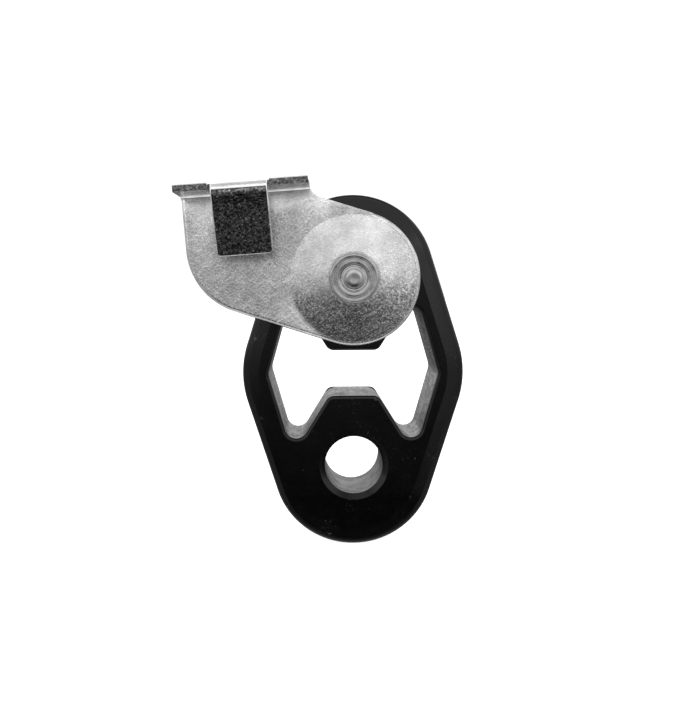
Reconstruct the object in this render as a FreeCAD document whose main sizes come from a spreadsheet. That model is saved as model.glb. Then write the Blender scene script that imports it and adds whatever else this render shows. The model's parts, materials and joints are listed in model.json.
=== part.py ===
"""Link cleat with a swinging sheet-metal lever.

A metal link with two eyes is clad in two moulded half shells. The lower eye takes the
fastening bolt, and a rope or strap goes through the window between the eyes. A stamped
lever with a thumb flange and a hooked tab turns on a rivet through the upper eye.

The origin is the centre of the lower eye. +Z runs to the upper eye, and -Y is the lever side.
"""

import FreeCAD, Part
import math
import os

import Sketcher

DIMENSIONS = {
    # link, seen from the front
    "pitch": 41.6,  # lower eye to upper eye
    "end_radius": 17.95,  # round end beyond each eye
    "end_offset": 0.25,  # its centre lies this much further out than the eye's
    "flank_angle": 17.65,  # each flank from the vertical
    "knee_radius": 21.0,  # where two flanks meet
    "wall": 2.2,  # shell beside the core
    "shell_half": 9.0,  # half of the whole thickness
    "core_half": 7.5,  # half of the core's thickness
    "core_gap": 0.05,  # round the core, inside the shells
    "bevel_width": 2.5,  # sloping border round a shell's face
    "bevel_depth": 1.0,
    "outer_round": 1.0,  # outer edge of that border
    "inner_round": 0.7,  # window edge of a shell
    "seam": 0.2,  # bevel on each side of the line where the shells meet
    "taper_start": 7.0,  # beyond an eye's centre, where the face starts to fall away
    "taper_round": 14.0,
    "taper_depth": 0.9,  # how far it has fallen at the end of the link
    # window between the eyes
    "window_half": 18.9,
    "window_angle": 16.0,
    "window_knee_radius": 3.0,
    "land_half": 5.45,
    "land_height": 15.75,  # eye centre to the flat of its land
    "land_angle": 31.8,
    "land_radius": 2.0,
    "core_land_radius": 3.6,  # the metal's land is rounder than the shells'
    "corner_radius": 2.6,
    # lower eye
    "eye_radius": 6.5,
    "eye_chamfer": 1.2,
    # locating pegs
    "peg_radius": 1.5,
    "peg_gap": 0.1,
    "peg_offset": 11.2,
    # pivot
    "shank_radius": 3.5,
    "running_gap": 0.06,
    "bush_radius": 5.0,
    "head_radius": 5.35,
    "head_height": 1.3,
    "head_chamfer": 0.35,
    "cup_radius": 3.0,
    "cup_depth": 0.5,
    "cup_floor_radius": 1.6,
    "tail_radius": 4.9,
    "tail_height": 1.2,
    "thrust_radius": 8.0,
    "thrust_height": 0.8,
    "spring_radius": 7.0,
    "spring_sheet": 0.35,
    "spring_rise": 0.3,
    "head_gap": 0.05,
    "backing_radius": 7.5,
    "backing_height": 1.0,
    # lever, in its own frame: pivot at the origin, flange level
    "sheet": 1.5,
    "lever_gap": 0.4,  # between the lever and the shell
    "lever_tilt": 4.1,  # how far the lever stands turned at rest
    "disc_radius": 14.6,
    "arm_angle": 21.9,
    "arm_reach": 35.45,  # pivot to the arm's far side
    "heel_radius": 14.8,
    "neck_x": 8.15,  # pivot to the near side of the flange
    "neck_radius": 3.6,
    "neck_angle": 20.7,  # the arm's upper side from the level
    "flange_top": 21.35,
    "flange_depth": 10.1,  # in front of the lever's face
    "bend_radius": 0.4,
    "tab_near": 16.45,
    "tab_far": 28.05,
    "tab_foot": 6.45,
    "tab_lean": 13.0,  # the hook is folded this much past square
    "tab_corner": 0.8,
    "tab_bend_radius": 0.8,
    "tab_rise": 0.45,  # the hook's bend stands this much above the flange
    "tab_proud": 0.4,
    "burr_round": 0.3,  # worn edges of the hook and the flange
    "slit": 0.5,
    "slit_depth": 3.2,
    "dome_radius": 13.7,
    "dome_flat": 5.8,
    "dome_rise": 1.1,
    "dome_round": 1.2,
    "edge_round": 0.8,  # rolled front edge of the stamping
}


def make_sheet(doc):
    """The driving dimensions, one alias to a row."""
    sheet = doc.addObject("Spreadsheet::Sheet", "Dims")
    for row, (alias, number) in enumerate(DIMENSIONS.items(), start=1):
        sheet.set(f"A{row}", alias)
        sheet.set(f"B{row}", str(number))
        sheet.setAlias(f"B{row}", alias)
    doc.recompute()
    return sheet


def bound(text):
    """The words of a formula that name dimensions, made to point at the sheet."""
    words = []
    word = ""
    for mark in text + " ":
        if mark.isalnum() or mark in "_.":
            word += mark
            continue
        words.append("Dims." + word if word in DIMENSIONS else word)
        words.append(mark)
        word = ""
    return "".join(words).strip()


class Builder:
    """Makes bodies whose sketches and features take their sizes from the sheet."""

    def __init__(self, doc, sheet):
        self.doc = doc
        self.sheet = sheet

    def number(self, text):
        """What a formula comes to, in millimetres."""
        return float(self.sheet.evalExpression(bound(text)))

    def body(self, name):
        body = self.doc.addObject("PartDesign::Body", name)
        body.Label = name
        return body

    def sketch(self, body, name, role):
        """An empty sketch on one of the body's own origin planes."""
        plane = next(p for p in body.Origin.OriginFeatures if p.Role == role)
        sketch = body.newObject("Sketcher::SketchObject", name)
        sketch.AttachmentSupport = [(plane, "")]
        sketch.MapMode = "FlatFace"
        return sketch

    def size(self, sketch, constraint, text):
        """Adds a dimension and ties it to a formula."""
        index = sketch.addConstraint(constraint)
        sketch.setExpression(f"Constraints[{index}]", bound(text))

    def place_point(self, sketch, geometry, vertex, x_text, y_text):
        """Holds a point at x, y from the sketch's origin."""
        for kind, text, axis in (("DistanceX", x_text, -2), ("DistanceY", y_text, -1)):
            value = self.number(text)
            if abs(value) < 1e-9:
                sketch.addConstraint(Sketcher.Constraint("PointOnObject", geometry, vertex, axis))
            elif value > 0:
                rule = Sketcher.Constraint(kind, -1, 1, geometry, vertex, value)
                self.size(sketch, rule, text)
            else:
                rule = Sketcher.Constraint(kind, geometry, vertex, -1, 1, -value)
                self.size(sketch, rule, f"-({text})")

    def circle(self, sketch, x_text, y_text, radius_text):
        centre = FreeCAD.Vector(self.number(x_text), self.number(y_text), 0)
        radius = self.number(radius_text)
        index = sketch.addGeometry(Part.Circle(centre, FreeCAD.Vector(0, 0, 1), radius), False)
        self.size(sketch, Sketcher.Constraint("Radius", index, radius), radius_text)
        self.place_point(sketch, index, 3, x_text, y_text)

    def outline(self, sketch, corners):
        """A closed outline of straight sides. Each corner is x, y and its radius, or None if sharp."""
        points = [FreeCAD.Vector(self.number(x), self.number(y), 0) for x, y, _ in corners]
        count = len(corners)
        ends = []
        for i, (_, _, radius_text) in enumerate(corners):
            after = points[(i + 1) % count]
            ends.append(self.corner(sketch, points[i - 1], points[i], after, radius_text))
        lines = []
        for i in range(count):
            start = ends[i]["leave"]
            finish = ends[(i + 1) % count]["arrive"]
            lines.append(sketch.addGeometry(Part.LineSegment(start, finish), False))
        for i, (x_text, y_text, _) in enumerate(corners):
            before, after = lines[i - 1], lines[i]
            arc = ends[i]["arc"]
            if arc is None:
                sketch.addConstraint(Sketcher.Constraint("Coincident", before, 2, after, 1))
                self.place_point(sketch, after, 1, x_text, y_text)
                continue
            arrive, leave = ends[i]["vertices"]
            sketch.addConstraint(Sketcher.Constraint("Tangent", before, 2, arc, arrive))
            sketch.addConstraint(Sketcher.Constraint("Tangent", arc, leave, after, 1))
            point = sketch.addGeometry(Part.Point(points[i]), True)
            sketch.addConstraint(Sketcher.Constraint("PointOnObject", point, 1, before))
            sketch.addConstraint(Sketcher.Constraint("PointOnObject", point, 1, after))
            self.place_point(sketch, point, 1, x_text, y_text)

    def corner(self, sketch, before, here, after, radius_text):
        """The arc of one rounded corner, and where the sides on each side of it end."""
        if radius_text is None:
            return {"arc": None, "arrive": here, "leave": here}
        radius = self.number(radius_text)
        back = (before - here).normalize()
        onward = (after - here).normalize()
        half = back.getAngle(onward) / 2
        arrive = here + back * (radius / math.tan(half))
        leave = here + onward * (radius / math.tan(half))
        centre = here + (back + onward).normalize() * (radius / math.sin(half))
        turns_left = back.cross(onward).z < 0
        first, last = (arrive, leave) if turns_left else (leave, arrive)
        angles = [math.atan2(p.y - centre.y, p.x - centre.x) for p in (first, last)]
        round_part = Part.Circle(centre, FreeCAD.Vector(0, 0, 1), radius)
        arc = sketch.addGeometry(Part.ArcOfCircle(round_part, angles[0], angles[1]), False)
        self.size(sketch, Sketcher.Constraint("Radius", arc, radius), radius_text)
        vertices = (1, 2) if turns_left else (2, 1)
        return {"arc": arc, "arrive": arrive, "leave": leave, "vertices": vertices}

    def pad(self, body, name, sketch, length_text, reverse=False, both=False):
        return self.extrude(body, "PartDesign::Pad", name, sketch, length_text, reverse, both)

    def pocket(self, body, name, sketch, length_text, reverse=False, both=False):
        """A pocket, which has to take something away."""
        before = body.Shape.Volume
        feature = self.extrude(body, "PartDesign::Pocket", name, sketch, length_text, reverse, both)
        if feature.Shape.Volume >= before - 1e-6:
            raise RuntimeError(f"{body.Label}: {name} cuts nothing")
        return feature

    def extrude(self, body, kind, name, sketch, length_text, reverse, both):
        feature = body.newObject(kind, name)
        feature.Profile = sketch
        feature.Reversed = reverse
        feature.Midplane = both
        feature.setExpression("Length", bound(length_text))
        sketch.Visibility = False
        self.doc.recompute()
        return feature

    def revolve(self, body, name, sketch, cut=False):
        """A full turn of a profile about the sketch's own horizontal axis."""
        before = body.Shape.Volume if cut else 0
        kind = "PartDesign::Groove" if cut else "PartDesign::Revolution"
        feature = body.newObject(kind, name)
        feature.Profile = sketch
        feature.ReferenceAxis = (sketch, ["H_Axis"])
        feature.Angle = 360
        self.doc.recompute()
        if cut and feature.Shape.Volume >= before - 1e-6:
            raise RuntimeError(f"{body.Label}: {name} cuts nothing")
        return feature

    def fillet(self, body, name, radius_text, wanted):
        """Rounds the edges of the body's last feature for which wanted(edge) is true."""
        return self.dress(body, "PartDesign::Fillet", name, "Radius", radius_text, wanted)

    def chamfer(self, body, name, size_text, wanted):
        return self.dress(body, "PartDesign::Chamfer", name, "Size", size_text, wanted)

    def dress(self, body, kind, name, measure, text, wanted):
        base = body.Tip
        edges = [f"Edge{i}" for i, edge in enumerate(base.Shape.Edges, start=1) if wanted(edge)]
        if not edges:
            raise RuntimeError(f"{body.Label}: {name} found no edge")
        feature = body.newObject(kind, name)
        feature.Base = (base, edges)
        feature.setExpression(measure, bound(text))
        self.doc.recompute()
        return feature


def link_outline(inset):
    """Corners of the link's outline, all of it moved in by inset."""
    radius = f"(end_radius - {inset})"
    tip = f"({radius} / sin(flank_angle * 1 deg) + end_offset)"
    knee = f"{radius} / cos(flank_angle * 1 deg) + (pitch / 2 + end_offset) * tan(flank_angle * 1 deg)"
    knee_radius = f"knee_radius - {inset}"
    return [
        ("0", f"-{tip}", radius),
        (knee, "pitch / 2", knee_radius),
        ("0", f"pitch + {tip}", radius),
        (f"-({knee})", "pitch / 2", knee_radius),
    ]


def window_outline(land_radius):
    """Corners of the window: a hexagon with a land reaching in from each eye."""
    wall = "tan(window_angle * 1 deg)"
    flank = "tan(land_angle * 1 deg)"
    deep = f"((land_half - window_half + pitch / 2 * {wall} + land_height * {flank}) / ({wall} + {flank}))"
    out = f"(land_half + (land_height - {deep}) * {flank})"
    lower = [
        (f"-{out}", deep, "corner_radius"),
        ("-land_half", "land_height", land_radius),
        ("land_half", "land_height", land_radius),
        (out, deep, "corner_radius"),
        ("window_half", "pitch / 2", "window_knee_radius"),
    ]
    upper = [
        (out, f"pitch - {deep}", "corner_radius"),
        ("land_half", "pitch - land_height", "land_radius"),
        ("-land_half", "pitch - land_height", "land_radius"),
        (f"-{out}", f"pitch - {deep}", "corner_radius"),
        ("-window_half", "pitch / 2", "window_knee_radius"),
    ]
    return lower + upper


def peg_places():
    """Two pegs beside each eye."""
    return [(x, z) for z in ("0", "pitch") for x in ("-peg_offset", "peg_offset")]


def make_core(builder):
    """The metal link inside the shells."""
    body = builder.body("core_link")
    plate = builder.sketch(body, "core_outline", "XZ_Plane")
    builder.outline(plate, link_outline("(wall + core_gap)"))
    builder.pad(body, "core_plate", plate, "2 * core_half", both=True)
    window = builder.sketch(body, "core_window_outline", "XZ_Plane")
    builder.outline(window, window_outline("core_land_radius"))
    builder.pocket(body, "core_window", window, "2 * shell_half", both=True)
    holes = builder.sketch(body, "core_hole_outline", "XZ_Plane")
    builder.circle(holes, "0", "0", "eye_radius")
    builder.circle(holes, "0", "pitch", "bush_radius")
    for x, z in peg_places():
        builder.circle(holes, x, z, "peg_radius + peg_gap")
    builder.pocket(body, "core_holes", holes, "2 * shell_half", both=True)
    return body


def is_at_depth(edge, depth):
    """Whether an edge lies flat in the plane at that Y."""
    box = edge.BoundBox
    return abs(box.YMin - depth) < 1e-4 and abs(box.YMax - depth) < 1e-4


def make_shell(builder, name, turn):
    """A moulded half shell: it covers one face and the outer side of the core."""
    body = builder.body(name)
    body.Placement = FreeCAD.Placement(
        FreeCAD.Vector(0, 0, 0), FreeCAD.Rotation(FreeCAD.Vector(0, 0, 1), turn)
    )
    face = -builder.number("shell_half")
    plate = builder.sketch(body, name + "_outline", "XZ_Plane")
    builder.outline(plate, link_outline("0"))
    builder.pad(body, name + "_plate", plate, "shell_half")
    for end, (centre, sign) in enumerate((("0", "-"), ("pitch", "+"))):
        wedge = builder.sketch(body, f"{name}_taper_{end}_outline", "YZ_Plane")
        start = f"{centre} {sign} taper_start"
        before = f"{centre} {sign} 0.5 * taper_start"
        stop = f"{centre} {sign} (end_radius + 1)"
        slope = "taper_depth * (end_radius + 1 - taper_start) / (end_radius - taper_start)"
        builder.outline(
            wedge,
            [
                ("-shell_half", before, None),
                ("-shell_half", start, "taper_round"),
                (f"-shell_half + {slope}", stop, None),
                ("-shell_half - 1", stop, None),
                ("-shell_half - 1", before, None),
            ],
        )
        builder.pocket(body, f"{name}_taper_{end}", wedge, "4 * end_radius", both=True)

    def on_rim(edge):
        box = edge.BoundBox
        return box.YMax < -1.0 and box.ZLength + box.XLength > 1.0 and not crosses_face(edge)

    def crosses_face(edge):
        # the two crease lines where the tapers start run straight across the face
        box = edge.BoundBox
        return box.ZLength < 1e-6 and box.XLength > 5.0

    bevel = builder.chamfer(body, name + "_bevel", "bevel_depth", on_rim)
    bevel.ChamferType = "Two distances"
    bevel.setExpression("Size2", bound("bevel_width"))
    builder.doc.recompute()

    def on_outline(edge):
        box = edge.BoundBox
        flat = box.YMax < -1.0 and box.YLength < 0.5 * builder.number("bevel_depth")
        middle = edge.valueAt((edge.FirstParameter + edge.LastParameter) / 2)
        below = Part.Vertex(middle.x, 0, middle.z)
        return flat and plate.Shape.distToShape(below)[0] < 1e-3

    builder.fillet(body, name + "_outer_round", "outer_round", on_outline)
    window = builder.sketch(body, name + "_window_outline", "XZ_Plane")
    builder.outline(window, window_outline("land_radius"))
    builder.pocket(body, name + "_window", window, "2 * shell_half", both=True)

    def on_window(edge):
        box = edge.BoundBox
        beside = max(box.XMax, -box.XMin) < builder.number("window_half + 2")
        between = box.ZMin > 5 and box.ZMax < builder.number("pitch - 5")
        return beside and between and is_at_depth(edge, face)

    builder.fillet(body, name + "_window_round", "inner_round", on_window)
    recess = builder.sketch(body, name + "_recess_outline", "XZ_Plane")
    builder.outline(recess, link_outline("wall"))
    builder.pocket(body, name + "_recess", recess, "core_half", reverse=True)
    pegs = builder.sketch(body, name + "_peg_outline", "XZ_Plane")
    for x, z in peg_places():
        builder.circle(pegs, x, z, "peg_radius")
    builder.pad(body, name + "_pegs", pegs, "core_half")
    holes = builder.sketch(body, name + "_hole_outline", "XZ_Plane")
    builder.circle(holes, "0", "0", "eye_radius")
    builder.circle(holes, "0", "pitch", "bush_radius")
    builder.pocket(body, name + "_holes", holes, "2 * shell_half", both=True)

    def on_eye(edge):
        box = edge.BoundBox
        return is_at_depth(edge, face) and box.ZMax < 8 and box.ZMin > -8

    builder.chamfer(body, name + "_eye_chamfer", "eye_chamfer", on_eye)

    def on_seam(edge):
        middle = edge.valueAt((edge.FirstParameter + edge.LastParameter) / 2)
        return is_at_depth(edge, 0) and plate.Shape.distToShape(Part.Vertex(middle))[0] < 1e-3

    builder.chamfer(body, name + "_seam", "seam", on_seam)
    return body


def make_lever(builder):
    """The stamped lever, in its own frame: a domed disc, an arm, a thumb flange and a hooked tab."""
    body = builder.body("lever")
    tangent_x = "disc_radius * sin(arm_angle * 1 deg)"
    tangent_z = "disc_radius * cos(arm_angle * 1 deg)"
    bend = "(flange_top - sheet - bend_radius)"
    heel_z = "(arm_reach * sin(arm_angle * 1 deg) - disc_radius) / cos(arm_angle * 1 deg)"

    disc = builder.sketch(body, "disc_outline", "XZ_Plane")
    builder.circle(disc, "0", "0", "disc_radius")
    builder.pad(body, "disc", disc, "sheet")
    arm = builder.sketch(body, "arm_outline", "XZ_Plane")
    builder.outline(
        arm,
        [
            (f"-{tangent_x}", f"-{tangent_z}", None),
            (tangent_x, tangent_z, None),
            (tangent_x, bend, None),
            ("-arm_reach", bend, None),
            ("-arm_reach", heel_z, "heel_radius"),
        ],
    )
    builder.pad(body, "arm", arm, "sheet")
    bend_height = builder.number(bend)

    def on_front_rim(edge):
        return is_at_depth(edge, -builder.number("sheet")) and edge.BoundBox.ZMin < bend_height - 1e-3

    builder.fillet(body, "rolled_edge", "edge_round", on_front_rim)

    front = "(-sheet - flange_depth)"
    root = "flange_top - 1.4 * sheet"
    flange = builder.sketch(body, "flange_outline", "YZ_Plane")
    flange.setExpression("AttachmentOffset.Base.z", bound("-arm_reach"))
    builder.outline(
        flange,
        [
            ("0", root, None),
            ("0", "flange_top", "bend_radius + sheet"),
            (front, "flange_top", None),
            (front, "flange_top - sheet", None),
            ("-sheet", "flange_top - sheet", "bend_radius"),
            ("-sheet", root, None),
        ],
    )
    builder.pad(body, "flange", flange, "arm_reach")
    rise = "disc_radius / cos(neck_angle * 1 deg)"
    neck = builder.sketch(body, "neck_outline", "XZ_Plane")
    builder.outline(
        neck,
        [
            ("-neck_x", f"{rise} + neck_x * tan(neck_angle * 1 deg)", "neck_radius"),
            ("2 * disc_radius", f"{rise} - 2 * disc_radius * tan(neck_angle * 1 deg)", None),
            ("2 * disc_radius", "2 * flange_top", None),
            ("-neck_x", "2 * flange_top", None),
        ],
    )
    builder.pocket(body, "neck", neck, "4 * flange_depth", both=True)

    tab_face = f"({front} - tab_proud)"
    tab_root = f"({front} + slit_depth)"
    tab_back = f"{tab_face} + sheet / cos(tab_lean * 1 deg)"
    hook = "tan(tab_lean * 1 deg)"
    drop = "(flange_top + tab_rise - tab_foot)"
    tab = builder.sketch(body, "tab_outline", "YZ_Plane")
    tab.setExpression("AttachmentOffset.Base.z", bound("-tab_far"))
    builder.outline(
        tab,
        [
            (tab_root, "flange_top", None),
            (tab_face, "flange_top + tab_rise", "tab_bend_radius + sheet"),
            (f"{tab_face} + {drop} * {hook}", "tab_foot", None),
            (f"{tab_back} + {drop} * {hook}", "tab_foot", None),
            (f"{tab_back} + sheet * {hook}", "flange_top + tab_rise - sheet", "tab_bend_radius"),
            (tab_root, "flange_top - sheet", None),
        ],
    )
    room = tab_room(builder, body, front, tab_root)
    builder.pocket(body, "tab_room", room, "2 * flange_top", both=True)
    builder.pad(body, "tab", tab, "tab_far - tab_near")

    foot = builder.number("tab_foot")

    def on_tab_corner(edge):
        box = edge.BoundBox
        at_foot = abs(box.ZMin - foot) < 1e-3 and abs(box.ZMax - foot) < 1e-3
        return at_foot and box.YLength > 1.0 and box.XLength < 0.1

    builder.fillet(body, "tab_corner", "tab_corner", on_tab_corner)
    face_top = builder.number(tab_face)
    top = builder.number("flange_top")
    crown = builder.number("flange_top + tab_rise")
    steepness = builder.number(hook)

    def on_tab_rim(edge):
        # the sides and the foot of the hook's front face, but not the line where its bend starts
        box = edge.BoundBox
        on_face = all(abs(v.Y - face_top - (crown - v.Z) * steepness) < 1e-3 for v in edge.Vertexes)
        at_bend = box.XLength > 5 and box.ZMin > foot + 1
        return on_face and box.ZMax < top - 1 and not at_bend

    builder.fillet(body, "tab_rim", "burr_round", on_tab_rim)
    front_edge = builder.number(front)

    def on_flange_rim(edge):
        box = edge.BoundBox
        return abs(box.ZMin - top) < 1e-4 and is_at_depth(edge, front_edge)

    builder.fillet(body, "flange_rim", "burr_round", on_flange_rim)

    cone = builder.sketch(body, "dome_outline", "YZ_Plane")
    crest = "(-sheet - dome_rise)"
    builder.outline(
        cone,
        [
            ("-0.5 * sheet", "0", None),
            ("-0.5 * sheet", "dome_radius", None),
            ("-sheet", "dome_radius", None),
            (crest, "dome_flat", None),
            (crest, "0", None),
        ],
    )
    builder.revolve(body, "dome", cone)
    hollow = builder.sketch(body, "hollow_outline", "YZ_Plane")
    builder.outline(
        hollow,
        [
            ("0", "0", None),
            ("-dome_rise", "0", None),
            ("-dome_rise", "dome_flat", None),
            ("0", "dome_radius", None),
        ],
    )
    builder.revolve(body, "hollow", hollow, cut=True)
    hole = builder.sketch(body, "pivot_hole_outline", "XZ_Plane")
    builder.circle(hole, "0", "0", "shank_radius + running_gap")
    builder.pocket(body, "pivot_hole", hole, "4 * flange_depth", both=True)
    creases = (builder.number("dome_radius"), builder.number("dome_flat"))

    def on_dome(edge):
        curve = edge.Curve
        return isinstance(curve, Part.Circle) and any(abs(curve.Radius - r) < 1e-3 for r in creases)

    builder.fillet(body, "dome_round", "dome_round", on_dome)
    place = FreeCAD.Vector(0, -builder.number("shell_half + lever_gap"), builder.number("pitch"))
    turn = FreeCAD.Rotation(FreeCAD.Vector(0, -1, 0), builder.number("lever_tilt"))
    body.Placement = FreeCAD.Placement(place, turn)
    body.setExpression("Placement.Base.y", bound("-(shell_half + lever_gap)"))
    body.setExpression("Placement.Base.z", bound("pitch"))
    body.setExpression("Placement.Rotation.Angle", bound("lever_tilt"))
    return body


def tab_room(builder, body, front, tab_root):
    """Where the flange is cut away for the tab and the slits beside it."""
    room = builder.sketch(body, "tab_room_outline", "XY_Plane")
    builder.outline(
        room,
        [
            ("-tab_far - slit", f"{front} - 1", None),
            ("-tab_near + slit", f"{front} - 1", None),
            ("-tab_near + slit", tab_root, None),
            ("-tab_far - slit", tab_root, None),
        ],
    )
    return room


def make_turned(builder, name, corners):
    """A turned piece: a profile of depth and radius, swung about the pivot's axis."""
    body = builder.body(name)
    profile = builder.sketch(body, name + "_outline", "YZ_Plane")
    builder.outline(profile, corners)
    builder.revolve(body, name + "_turned", profile)
    body.setExpression("Placement.Base.z", bound("pitch"))
    return body


def make_pivot(builder):
    """The rivet through the upper eye, and what it holds."""
    thrust_face = "(-shell_half - thrust_height)"
    lever_face = "(-shell_half - lever_gap - dome_rise - sheet)"
    seat = f"({lever_face} - head_gap)"
    crown = f"({seat} - head_height)"
    tail = "(shell_half + backing_height)"
    shank_hole = "shank_radius + 0.5 * running_gap"
    rivet = make_turned(
        builder,
        "pivot_rivet",
        [
            (f"{crown} + cup_depth", "0", None),
            (f"{crown} + cup_depth", "cup_floor_radius", None),
            (crown, "cup_radius", None),
            (crown, "head_radius - head_chamfer", None),
            (f"{crown} + head_chamfer", "head_radius", None),
            (seat, "head_radius", None),
            (seat, "shank_radius", None),
            (tail, "shank_radius", None),
            (tail, "tail_radius", None),
            (f"{tail} + 0.5 * tail_height", "tail_radius", None),
            (f"{tail} + tail_height", "shank_radius", None),
            (f"{tail} + tail_height", "0", None),
        ],
    )
    bush = make_turned(builder, "pivot_bush", tube("-shell_half", "shell_half", shank_hole, "bush_radius"))
    thrust = make_turned(
        builder, "thrust_washer", tube(thrust_face, "-shell_half", shank_hole, "thrust_radius")
    )
    spring = make_turned(
        builder,
        "disc_spring",
        [
            (f"{thrust_face} - spring_rise", shank_hole, None),
            (f"{thrust_face} - spring_rise - spring_sheet", shank_hole, None),
            (f"{thrust_face} - spring_sheet", "spring_radius", None),
            (thrust_face, "spring_radius", None),
        ],
    )
    backing = make_turned(
        builder, "backing_washer", tube("shell_half", tail, shank_hole, "backing_radius")
    )
    return [rivet, bush, thrust, spring, backing]


def tube(low, high, inner, outer):
    """Corners of a plain ring's section."""
    return [(low, inner, None), (high, inner, None), (high, outer, None), (low, outer, None)]


def check(doc, parts):
    """Stops the build if any object failed or any part's shape is empty or invalid."""
    for thing in doc.Objects:
        if "Invalid" in thing.State or "Error" in thing.State:
            raise RuntimeError(f"{thing.Label} failed: {thing.State}")
    for part in parts:
        if part.Shape.isNull() or not part.Shape.isValid():
            raise RuntimeError(f"{part.Label} has no valid shape")


def main():
    doc = FreeCAD.newDocument("link_cleat")
    sheet = make_sheet(doc)
    builder = Builder(doc, sheet)
    parts = [
        make_core(builder),
        make_shell(builder, "front_shell", 0),
        make_shell(builder, "rear_shell", 180),
        make_lever(builder),
        *make_pivot(builder),
    ]
    doc.recompute()
    check(doc, parts)
    os.makedirs("parts", exist_ok=True)
    for part in parts:
        part.Shape.exportStep(f"parts/{part.Label}.step")
        print(part.Label, round(part.Shape.Volume, 1), "mm3")


main()
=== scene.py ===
"""Looks of the link cleat: materials, a turned rivet, floor, light and camera."""

import json
import math

import bmesh
import bpy
from mathutils import Matrix, Vector


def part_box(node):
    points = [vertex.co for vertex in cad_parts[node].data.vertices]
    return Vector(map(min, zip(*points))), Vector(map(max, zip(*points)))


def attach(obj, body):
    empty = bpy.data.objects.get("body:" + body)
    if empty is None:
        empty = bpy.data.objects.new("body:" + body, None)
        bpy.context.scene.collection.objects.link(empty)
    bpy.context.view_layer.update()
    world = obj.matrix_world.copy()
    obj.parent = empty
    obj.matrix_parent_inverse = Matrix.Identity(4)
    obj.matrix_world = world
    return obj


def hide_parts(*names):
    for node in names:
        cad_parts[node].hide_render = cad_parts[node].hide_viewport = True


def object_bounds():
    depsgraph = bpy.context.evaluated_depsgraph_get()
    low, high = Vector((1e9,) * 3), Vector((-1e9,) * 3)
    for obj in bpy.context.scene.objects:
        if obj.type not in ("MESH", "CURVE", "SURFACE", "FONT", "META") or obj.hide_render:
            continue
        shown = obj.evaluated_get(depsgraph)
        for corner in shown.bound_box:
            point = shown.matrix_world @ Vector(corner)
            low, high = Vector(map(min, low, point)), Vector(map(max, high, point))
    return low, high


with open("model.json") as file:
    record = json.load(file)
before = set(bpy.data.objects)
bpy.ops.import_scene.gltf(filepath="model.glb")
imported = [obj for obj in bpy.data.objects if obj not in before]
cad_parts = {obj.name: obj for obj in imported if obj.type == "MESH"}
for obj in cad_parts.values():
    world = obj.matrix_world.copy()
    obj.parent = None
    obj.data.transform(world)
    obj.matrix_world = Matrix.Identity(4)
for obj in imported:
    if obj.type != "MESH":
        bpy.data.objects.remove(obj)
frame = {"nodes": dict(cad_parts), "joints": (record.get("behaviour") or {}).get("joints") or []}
cad_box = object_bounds()

MM = 0.001
PIVOT = Vector(frame["joints"][0]["pos_m"])
LEVER_TILT = math.radians(4.1)  # how far the lever stands turned at rest


# ---------------------------------------------------------------- node helpers


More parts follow.
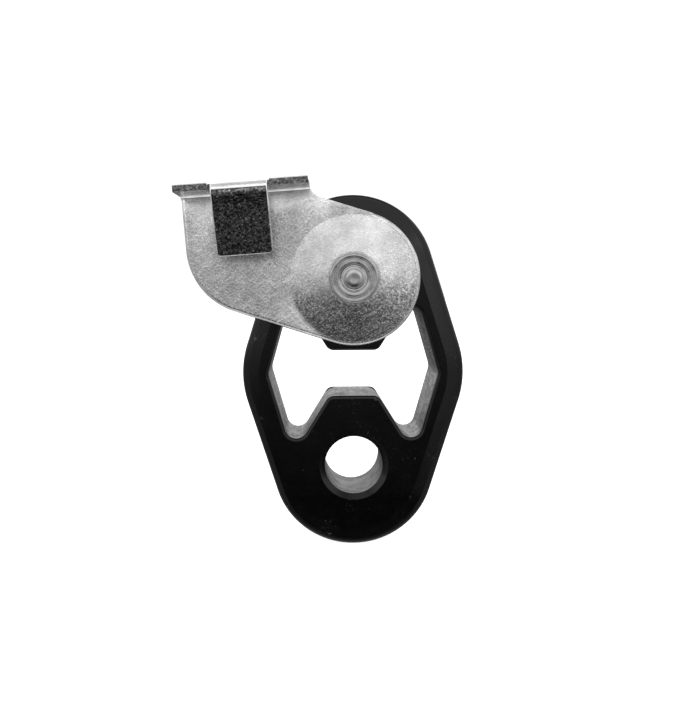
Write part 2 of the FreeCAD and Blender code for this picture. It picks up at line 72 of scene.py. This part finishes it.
class Shader:
    """A node material, with short calls for the nodes used here."""

    def __init__(self, name):
        self.material = bpy.data.materials.new(name)
        self.material.use_nodes = True
        self.tree = self.material.node_tree
        self.bsdf = self.tree.nodes["Principled BSDF"]
        coordinates = self.node("ShaderNodeTexCoord")
        self.place = coordinates.outputs["Object"]
        self.facing = coordinates.outputs["Normal"]

    def node(self, kind, **settings):
        node = self.tree.nodes.new(kind)
        for key, value in settings.items():
            setattr(node, key, value)
        return node

    def feed(self, socket, value):
        """Links a socket to another node's output, or sets its number."""
        if isinstance(value, bpy.types.NodeSocket):
            self.tree.links.new(value, socket)
        else:
            socket.default_value = value

    def set(self, **sockets):
        """Feeds sockets of the Principled shader, by name."""
        for key, value in sockets.items():
            self.feed(self.bsdf.inputs[key.replace("_", " ")], value)

    def math(self, operation, first, second=0.0, third=0.0, clamp=False):
        node = self.node("ShaderNodeMath", operation=operation, use_clamp=clamp)
        for socket, value in zip(node.inputs, (first, second, third)):
            self.feed(socket, value)
        return node.outputs[0]

    def plus(self, total, *values):
        """The sum of the values."""
        for value in values:
            total = self.math("ADD", total, value)
        return total

    def times(self, product, *values):
        """The product of the values."""
        for value in values:
            product = self.math("MULTIPLY", product, value)
        return product

    def wavy(self, value, noise, amount):
        """The value, moved by up to that amount where the noise is high."""
        return self.math("MULTIPLY_ADD", noise, amount, value)

    def radius(self, x, z):
        """Distance from the Y axis."""
        return self.math("SQRT", self.plus(self.times(x, x), self.times(z, z)))

    def ramp(self, value, low, high, to_low=0.0, to_high=1.0):
        """A smooth step from to_low to to_high as value goes from low to high."""
        node = self.node("ShaderNodeMapRange", interpolation_type="SMOOTHSTEP")
        for key, number in (("From Min", low), ("From Max", high), ("To Min", to_low), ("To Max", to_high)):
            node.inputs[key].default_value = number
        self.feed(node.inputs["Value"], value)
        return node.outputs["Result"]

    def grey(self, value):
        """A grey colour of that brightness."""
        node = self.node("ShaderNodeCombineColor")
        for channel in ("Red", "Green", "Blue"):
            self.feed(node.inputs[channel], value)
        return node.outputs["Color"]

    def scaled(self, vector, scale):
        node = self.node("ShaderNodeVectorMath", operation="MULTIPLY")
        self.feed(node.inputs[0], vector)
        node.inputs[1].default_value = scale
        return node.outputs[0]

    def moved(self, vector, offset):
        """The vector less offset."""
        node = self.node("ShaderNodeVectorMath", operation="SUBTRACT")
        self.feed(node.inputs[0], vector)
        node.inputs[1].default_value = offset
        return node.outputs[0]

    def turned(self, vector, turn):
        """The vector turned about the Y axis, in radians."""
        spin = self.node("ShaderNodeVectorRotate", rotation_type="Y_AXIS")
        self.feed(spin.inputs["Vector"], vector)
        spin.inputs["Angle"].default_value = turn
        return spin.outputs[0]

    def split(self, vector):
        """The vector's three components."""
        node = self.node("ShaderNodeSeparateXYZ")
        self.feed(node.inputs[0], vector)
        return node.outputs[0:3]

    def noise(self, size, detail=2.0, roughness=0.5, vector=None, distortion=0.0):
        """Noise from 0 to 1 whose lumps are about size metres across."""
        node = self.node("ShaderNodeTexNoise")
        self.feed(node.inputs["Vector"], self.place if vector is None else vector)
        node.inputs["Scale"].default_value = 1.0 / size
        node.inputs["Detail"].default_value = detail
        node.inputs["Roughness"].default_value = roughness
        node.inputs["Distortion"].default_value = distortion
        return node.outputs["Fac"]

    def streaks(self, vector, length, width, detail):
        """Noise drawn out along X, in lumps of length by width metres."""
        return self.noise(1.0, detail=detail, vector=self.scaled(vector, (1 / length, 1 / width, 1 / width)))

    def scratches(self, length, width, turn, seed, amount=0.62):
        """Thin straight marks along one direction, 1 on a mark and 0 off it."""
        edge = 0.08
        shifted = self.moved(self.place, Vector((13, 7, 11)) * MM * seed)
        value = self.streaks(self.turned(shifted, turn), length, width, detail=0.0)
        return self.ramp(value, amount, amount + edge)

    def cells(self, size):
        """A random brightness for each of a field of cells about size metres across."""
        node = self.node("ShaderNodeTexVoronoi")
        self.feed(node.inputs["Vector"], self.place)
        node.inputs["Scale"].default_value = 1.0 / size
        return self.split(node.outputs["Color"])[0]

    def mix(self, factor, first, second):
        """The first value where factor is 0, the second where it is 1."""
        node = self.node("ShaderNodeMix", data_type="FLOAT")
        self.feed(node.inputs["Factor"], factor)
        self.feed(node.inputs["A"], first)
        self.feed(node.inputs["B"], second)
        return node.outputs["Result"]

    def bump(self, height, depth, below=None):
        """A bump of height times depth metres, over the bump below it."""
        node = self.node("ShaderNodeBump")
        node.inputs["Distance"].default_value = depth
        self.feed(node.inputs["Height"], height)
        if below is not None:
            self.feed(node.inputs["Normal"], below)
        return node.outputs["Normal"]


# ---------------------------------------------------------------- materials


def lever_finish():
    """Zinc-plated sheet: a fine spangle that glitters, soft stains, light scratches, a painted highlight
    under the bend.

    Some of the light and shade is painted in, by place on the lever: shade on the dome's lower side, light
    under the flange and beside the dome's foot, shade and glints on what faces forward.
    """
    s = Shader("lever_steel")
    grain = s.noise(0.5 * MM, detail=3.0, roughness=0.65)
    spangle = s.cells(0.3 * MM)
    patch = s.noise(2.6 * MM, detail=3.0, roughness=0.6)
    stain = s.noise(11.0 * MM, detail=2.0, distortion=0.6)
    long_marks = s.scratches(6.0 * MM, 0.12 * MM, turn=0.5, seed=1)
    short_marks = s.scratches(4.0 * MM, 0.1 * MM, turn=-0.7, seed=2, amount=0.66)
    marks = s.math("MAXIMUM", long_marks, short_marks)
    pits = s.ramp(s.noise(0.7 * MM, detail=4.0, roughness=0.75), 0.42, 0.3)
    drawn = s.streaks(s.turned(s.place, 0.8), 5.0 * MM, 0.3 * MM, detail=2.0)

    # places on the lever, measured from the pivot in the lever's own frame
    x, y, z = s.split(s.turned(s.moved(s.place, PIVOT), LEVER_TILT))
    radius = s.radius(x, z)
    low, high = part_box("lever")
    rim = 0.9 * MM
    dome = high.x - PIVOT.x - rim
    under_flange = 16.5 * MM
    # a height whose limits come out ragged
    uneven = s.wavy(z, patch, 3.0 * MM)

    # what faces forward near the front: the flange's sheared edges, and the hook's face
    hook_back = low.y + 5.0 * MM
    facing = s.split(s.facing)[1]
    forward = s.times(s.ramp(y, hook_back + 0.5 * MM, hook_back), s.ramp(facing, -0.9, -0.96))
    # painted highlight under the flange: a pale band standing in for light off the sheet where it curves
    # into the bend; the band is smoother too
    painted_highlight_band = s.ramp(s.wavy(z, stain, 4.0 * MM), under_flange, under_flange + 3.5 * MM)
    # the band under it was pressed back a little, and looks up
    press = s.ramp(s.wavy(z, stain, 3.0 * MM), under_flange - 2.0 * MM, under_flange + 4.0 * MM, 1.0, 0.0)
    # the dome stands out of the plate; its lower side, where its fall faces down, gets painted shade
    on_dome = s.ramp(radius, dome + 1.8 * MM, dome - 2.2 * MM)
    painted_low_shade = s.times(s.ramp(radius, dome + 0.5 * MM, dome - 0.3 * MM), s.ramp(uneven, 1.5 * MM, -3.5 * MM))
    smooth = s.times(on_dome, s.ramp(uneven, 1.0 * MM, 5.0 * MM))
    # painted highlight: the sheet is painted paler beside the dome's foot, where it was drawn in and curves
    # up
    starts = s.ramp(radius, dome + 0.2 * MM, dome + 0.9 * MM)
    ends = s.ramp(radius, dome + 6.3 * MM, dome + 1.3 * MM)
    painted_pale_beside = s.times(starts, ends, s.ramp(uneven, 0.0, -5.0 * MM, 0.0, 0.8))

    # painted shade and glints: what faces forward is coarse and painted dark, with painted glints; the
    # hook's face leans, and painted shade darkens it near the flange
    painted_glint = s.times(s.ramp(s.cells(0.3 * MM), 0.94, 1.0), 0.3)
    coarse = s.noise(0.5 * MM, detail=4.0, roughness=0.7)
    hook_shade = s.ramp(z, under_flange + 3.0 * MM, under_flange - 2.5 * MM, 0.35, 1.0)
    upright = s.ramp(facing, -0.96, -0.99)
    dark = s.times(s.plus(s.ramp(coarse, 0.38, 0.75, 0.02, 0.34), painted_glint), s.mix(upright, hook_shade, 1.0))

    tone = s.plus(
        s.ramp(grain, 0.28, 0.72, 0.6, 0.84),
        s.ramp(spangle, 0.0, 1.0, -0.06, 0.06),
        s.ramp(drawn, 0.3, 0.7, -0.06, 0.06),
    )
    tone = s.times(
        s.mix(smooth, tone, 0.68),
        s.ramp(patch, 0.35, 0.65, 0.86, 1.04),
        s.ramp(stain, 0.3, 0.7, 0.84, 1.06),
        s.mix(on_dome, 0.9, 1.0),
        # painted shade on the dome's lower side
        s.mix(painted_low_shade, 1.0, s.ramp(grain, 0.36, 0.66, 0.34, 0.95)),
        s.mix(pits, 1.0, 0.72),
    )
    # painted highlight under the flange
    tone = s.mix(painted_highlight_band, tone, s.ramp(patch, 0.3, 0.7, 0.84, 0.98))
    # painted highlight beside the dome's foot
    tone = s.mix(painted_pale_beside, tone, 0.96)
    # painted shade and glints on what faces forward
    tone = s.mix(forward, tone, dark)
    tone = s.math("MULTIPLY_ADD", marks, 0.12, tone, clamp=True)
    rough = s.mix(painted_highlight_band, s.ramp(grain, 0.3, 0.7, 0.32, 0.22), 0.18)
    normal = s.bump(grain, 0.04 * MM)
    normal = s.bump(press, 0.12 * MM, normal)
    normal = s.bump(spangle, 0.01 * MM, normal)
    normal = s.bump(marks, 0.008 * MM, normal)
    s.set(Base_Color=s.grey(tone), Metallic=1.0, Roughness=rough, Normal=normal)
    return s.material


def turned_finish(name, tone, roughness):
    """Steel off a lathe: fine rings about the pivot's axis, with a little haze."""
    s = Shader(name)
    x, y, z = s.split(s.moved(s.place, PIVOT))
    ring_place = s.node("ShaderNodeCombineXYZ")
    s.feed(ring_place.inputs["X"], s.radius(x, z))
    s.feed(ring_place.inputs["Y"], s.times(y, 0.3))
    rings = s.noise(0.22 * MM, detail=3.0, roughness=0.7, vector=ring_place.outputs[0])
    haze = s.noise(1.4 * MM, detail=3.0)
    shade = s.times(s.ramp(rings, 0.25, 0.75, tone * 0.72, tone * 1.18), s.ramp(haze, 0.3, 0.7, 0.85, 1.1))
    normal = s.bump(rings, 0.03 * MM)
    normal = s.bump(haze, 0.02 * MM, normal)
    rough = s.ramp(haze, 0.3, 0.7, roughness * 0.8, roughness * 1.25)
    s.set(Base_Color=s.grey(shade), Metallic=1.0, Roughness=rough, Normal=normal)
    return s.material


def shell_finish():
    """Black moulded plastic: satin skin, a few pale scuffs and nicks."""
    s = Shader("shell_black")
    skin = s.noise(0.4 * MM, detail=2.0)
    patch = s.noise(7.0 * MM, detail=4.0, roughness=0.6)
    rub = s.noise(1.1 * MM, detail=4.0, roughness=0.7)
    long_marks = s.scratches(1.6 * MM, 0.1 * MM, turn=1.1, seed=3, amount=0.74)
    short_marks = s.scratches(1.2 * MM, 0.1 * MM, turn=-0.3, seed=4, amount=0.75)
    scuff = s.times(s.math("MAXIMUM", long_marks, short_marks), s.ramp(patch, 0.5, 0.66))
    speck = s.times(s.ramp(s.cells(0.6 * MM), 0.99, 1.0), s.ramp(patch, 0.45, 0.6))
    worn = s.math("ADD", scuff, speck, clamp=True)
    tone = s.math("MULTIPLY_ADD", worn, 0.03, s.ramp(rub, 0.3, 0.8, 0.0004, 0.0012))
    rough = s.plus(s.ramp(patch, 0.3, 0.7, 0.18, 0.24), s.times(worn, 0.2))
    normal = s.bump(skin, 0.006 * MM)
    normal = s.bump(worn, 0.01 * MM, normal)
    s.set(Base_Color=s.grey(tone), Roughness=rough, IOR=1.36, Normal=normal)
    return s.material


def core_finish():
    """Light alloy, dull, with drawn streaks through its thickness; the bored eye is darker and ringed.

    Surfaces that look up are painted a little darker too, as painted shade.
    """
    s = Shader("core_metal")
    streak = s.noise(0.5 * MM, detail=4.0, roughness=0.65, vector=s.scaled(s.place, (1.0, 0.12, 1.0)))
    blot = s.noise(3.5 * MM, detail=4.0, roughness=0.65)
    grit = s.noise(0.25 * MM, detail=2.0)
    # tool marks run round the eye, so their pattern is drawn out the other way there
    x, _, z = s.split(s.place)
    in_eye = s.ramp(s.radius(x, z), 7.2 * MM, 6.8 * MM)
    round_it = s.scaled(s.place, (0.16, 1.0, 0.16))
    bored = s.noise(0.6 * MM, detail=4.0, roughness=0.7, vector=round_it, distortion=0.4)
    line = s.mix(in_eye, streak, bored)
    tone = s.times(
        s.ramp(line, 0.32, 0.68, 0.22, 0.5),
        s.ramp(blot, 0.32, 0.6, 0.7, 1.04),
        # painted shade on surfaces that look up
        s.ramp(s.split(s.facing)[2], 0.3, 0.9, 1.0, 0.7),
        s.mix(in_eye, 1.0, 0.72),
    )
    normal = s.bump(line, 0.03 * MM)
    normal = s.bump(grit, 0.02 * MM, normal)
    s.set(Base_Color=s.grey(tone), Metallic=1.0, Roughness=s.ramp(blot, 0.3, 0.7, 0.55, 0.42), Normal=normal)
    return s.material


def bush_finish():
    """Sintered bronze: fine pores, oil-darkened."""
    s = Shader("bush_bronze")
    pores = s.noise(0.3 * MM, detail=3.0, roughness=0.7)
    warm = s.node("ShaderNodeMix", data_type="RGBA")
    s.feed(warm.inputs["Factor"], s.ramp(pores, 0.35, 0.65))
    warm.inputs["A"].default_value = (0.2, 0.12, 0.05, 1)
    warm.inputs["B"].default_value = (0.62, 0.42, 0.2, 1)
    s.set(Base_Color=warm.outputs["Result"], Metallic=1.0, Roughness=0.45, Normal=s.bump(pores, 0.02 * MM))
    return s.material


def nylon_finish():
    """Dark nylon, matt, with a faint moulded skin."""
    s = Shader("washer_nylon")
    skin = s.noise(0.3 * MM, detail=2.0)
    tone = s.ramp(skin, 0.3, 0.7, 0.02, 0.035)
    rough = s.ramp(skin, 0.3, 0.7, 0.5, 0.62)
    s.set(Base_Color=s.grey(tone), Roughness=rough, Normal=s.bump(skin, 0.01 * MM))
    return s.material


def dress(node, material):
    """Gives a CAD node its material."""
    mesh = frame["nodes"][node].data
    mesh.materials.clear()
    mesh.materials.append(material)


shell = shell_finish()
steel = turned_finish("pivot_steel", tone=0.44, roughness=0.28)
dress("lever", lever_finish())
dress("front_shell", shell)
dress("rear_shell", shell)
dress("core_link", core_finish())
dress("pivot_rivet", steel)
dress("backing_washer", steel)
dress("disc_spring", turned_finish("spring_steel", tone=0.3, roughness=0.35))
dress("pivot_bush", bush_finish())
dress("thrust_washer", nylon_finish())


# ---------------------------------------------------------------- turned detail


def rivet_profile():
    """Depth and radius of the rivet's outline, from the middle of its head to the middle of its tail."""
    low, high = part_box("pivot_rivet")
    head_radius = high.x
    seat = low.y + 1.3 * MM
    shank = 3.5 * MM
    # a dished face round a ringed cup with a low boss, in millimetres: distance back from the crown, radius
    face = [
        (0.16, 0.0),
        (0.15, 0.4),
        (0.11, 0.8),
        (0.08, 1.15),
        (0.11, 1.4),
        (0.19, 1.7),
        (0.27, 1.95),
        (0.23, 2.1),
        (0.29, 2.3),
        (0.36, 2.45),
        (0.3, 2.6),
        (0.36, 2.75),
        (0.33, 2.9),
        (0.08, 3.05),
        (0.0, 3.2),
        (0.03, 3.7),
        (0.045, 4.2),
        (0.035, 4.7),
    ]
    profile = [(low.y + back * MM, radius * MM) for back, radius in face]

    roll = 0.5 * MM
    roll_steps = 8
    for step in range(roll_steps + 1):
        turn = math.radians(90 * step / roll_steps)
        profile.append((low.y + roll * (1 - math.cos(turn)), head_radius - roll * (1 - math.sin(turn))))
    under_edge = 0.15 * MM
    profile += [(seat - under_edge, head_radius), (seat, head_radius - under_edge), (seat, shank)]

    tail_radius = 4.9 * MM
    tail_height = 1.2 * MM
    tail_edge = 0.2 * MM
    tail_rim = 0.3 * MM
    tail = high.y - tail_height
    profile += [(tail, shank), (tail, tail_radius - tail_edge), (tail + tail_edge, tail_radius)]
    dome_steps = 12
    for step in range(1, dome_steps + 1):
        turn = math.radians(90 * step / dome_steps)
        rise = (tail_height - tail_rim) * math.sin(turn)
        profile.append((tail + tail_rim + rise, tail_radius * math.cos(turn)))
    return profile


def make_rivet():
    """The rivet as its maker's spinning tool leaves it, turned from its profile."""
    profile = rivet_profile()
    around = 96
    points = []
    for y, radius in profile:
        for i in range(around):
            angle = 2 * math.pi * i / around
            points.append((PIVOT.x + radius * math.cos(angle), y, PIVOT.z + radius * math.sin(angle)))
    faces = []
    for ring in range(len(profile) - 1):
        for i in range(around):
            after = (i + 1) % around
            first = ring * around
            second = first + around
            faces.append((first + i, first + after, second + after, second + i))
    mesh = bpy.data.meshes.new("rivet_turned")
    mesh.from_pydata(points, [], faces)

    # the rings at both ends are single points, which are merged here
    work = bmesh.new()
    work.from_mesh(mesh)
    bmesh.ops.remove_doubles(work, verts=work.verts, dist=0.0001 * MM)
    bmesh.ops.recalc_face_normals(work, faces=work.faces)
    work.to_mesh(mesh)
    work.free()
    mesh.shade_smooth()
    mesh.set_sharp_from_angle(angle=math.radians(40))
    mesh.materials.append(steel)
    rivet = bpy.data.objects.new("rivet_turned", mesh)
    bpy.context.scene.collection.objects.link(rivet)
    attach(rivet, "link")
    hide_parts("pivot_rivet")


make_rivet()


# ---------------------------------------------------------------- stage


def make_floor():
    """A plain pale floor under the object, which gives off some light and isn't seen in the metal."""
    half_width = 3.0
    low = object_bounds()[0][2]
    mesh = bpy.data.meshes.new("floor")
    corners = [(x * half_width, y * half_width, low) for x, y in ((-1, -1), (1, -1), (1, 1), (-1, 1))]
    mesh.from_pydata(corners, [], [(0, 1, 2, 3)])
    floor = bpy.data.objects.new("floor", mesh)
    bpy.context.scene.collection.objects.link(floor)
    material = bpy.data.materials.new("floor_paper")
    material.use_nodes = True
    paper = material.node_tree.nodes["Principled BSDF"]
    paper.inputs["Base Color"].default_value = (0.6, 0.6, 0.6, 1)
    paper.inputs["Roughness"].default_value = 0.9
    paper.inputs["Emission Color"].default_value = (1, 1, 1, 1)
    paper.inputs["Emission Strength"].default_value = 0.9
    mesh.materials.append(material)
    floor.visible_glossy = False


def make_world():
    """A soft sky for light: bright above level, dark just below it, and bright again straight down."""
    world = bpy.data.worlds.new("studio")
    bpy.context.scene.world = world
    world.use_nodes = True
    tree = world.node_tree
    tree.nodes.clear()
    nodes, link = tree.nodes, tree.links.new
    place = nodes.new("ShaderNodeTexCoord")
    parts = nodes.new("ShaderNodeSeparateXYZ")
    link(place.outputs["Generated"], parts.inputs[0])
    ramp = nodes.new("ShaderNodeValToRGB")
    # the ramp runs from straight down at 0 to straight up at 1
    height = nodes.new("ShaderNodeMath")
    height.operation = "MULTIPLY_ADD"
    height.inputs[1].default_value = 0.5
    height.inputs[2].default_value = 0.5
    link(parts.outputs["Z"], height.inputs[0])
    link(height.outputs[0], ramp.inputs[0])
    # elevation in degrees, brightness
    sky = [
        (-90, 0.95),
        (-60, 0.95),
        (-48, 0.6),
        (-36, 0.03),
        (-20, 0.015),
        (-10, 0.07),
        (2, 0.45),
        (12, 1.3),
        (40, 1.3),
        (65, 0.5),
    ]
    stops = ramp.color_ramp.elements
    while len(stops) < len(sky):
        stops.new(0.5)
    for stop, (elevation, light) in zip(stops, sky):
        stop.position = 0.5 + 0.5 * math.sin(math.radians(elevation))
        stop.color = (light, light, light, 1)
    # the sides of the room are lighter than the strip straight in front
    width = nodes.new("ShaderNodeMath")
    width.operation = "ABSOLUTE"
    link(parts.outputs["X"], width.inputs[0])
    sides = nodes.new("ShaderNodeMapRange")
    sides.interpolation_type = "SMOOTHSTEP"
    sides.inputs["From Min"].default_value = 0.36
    sides.inputs["From Max"].default_value = 0.62
    sides.inputs["To Max"].default_value = 0.5
    link(width.outputs[0], sides.inputs["Value"])
    lighter = nodes.new("ShaderNodeMath")
    lighter.operation = "MAXIMUM"
    link(ramp.outputs["Color"], lighter.inputs[0])
    link(sides.outputs["Result"], lighter.inputs[1])
    soft = nodes.new("ShaderNodeBackground")
    link(lighter.outputs[0], soft.inputs["Color"])
    # the camera itself sees plain white
    white = nodes.new("ShaderNodeBackground")
    white.inputs["Color"].default_value = (1, 1, 1, 1)
    white.inputs["Strength"].default_value = 1.1
    seen = nodes.new("ShaderNodeLightPath")
    pick = nodes.new("ShaderNodeMixShader")
    link(seen.outputs["Is Camera Ray"], pick.inputs["Fac"])
    link(soft.outputs[0], pick.inputs[1])
    link(white.outputs[0], pick.inputs[2])
    out = nodes.new("ShaderNodeOutputWorld")
    link(pick.outputs[0], out.inputs["Surface"])


def soft_box(name, place, width, height, energy):
    """An area lamp that points at the middle of the object."""
    data = bpy.data.lights.new(name, "AREA")
    data.shape = "RECTANGLE"
    data.size = width
    data.size_y = height
    data.energy = energy
    lamp = bpy.data.objects.new(name, data)
    bpy.context.scene.collection.objects.link(lamp)
    lamp.location = place
    aim = (cad_box[0] + cad_box[1]) / 2 - lamp.location
    lamp.rotation_euler = aim.to_track_quat("-Z", "Y").to_euler()


def make_lights():
    """A large soft box above and in front, and an upright strip at each side of the view."""
    soft_box("top_box", Vector((-0.05, -0.3, 0.5)), width=0.5, height=0.3, energy=0.3)
    soft_box("left_strip", Vector((-0.3, -0.42, 0.06)), width=0.05, height=0.4, energy=0.09)
    soft_box("right_strip", Vector((0.24, -0.46, 0.06)), width=0.05, height=0.4, energy=0.09)


def make_camera():
    """In front of the object, a little to its left and about level with the pivot."""
    data = bpy.data.cameras.new("camera")
    data.sensor_fit = "HORIZONTAL"
    data.sensor_width = 36.0
    data.lens = 42.97
    data.clip_start = 0.01
    camera = bpy.data.objects.new("camera", data)
    bpy.context.scene.collection.objects.link(camera)
    place = Vector((-0.0077, -0.1901, 0.0404))
    heading = math.radians(-1.9)
    pitch = math.radians(-5.53)
    roll = math.radians(-0.25)
    camera.matrix_world = (
        Matrix.Translation(place)
        @ Matrix.Rotation(heading, 4, "Z")
        @ Matrix.Rotation(math.radians(90) + pitch, 4, "X")
        @ Matrix.Rotation(roll, 4, "Z")
    )
    bpy.context.scene.camera = camera


make_floor()
make_world()
make_lights()
make_camera()
bpy.context.scene.view_settings.view_transform = "Standard"
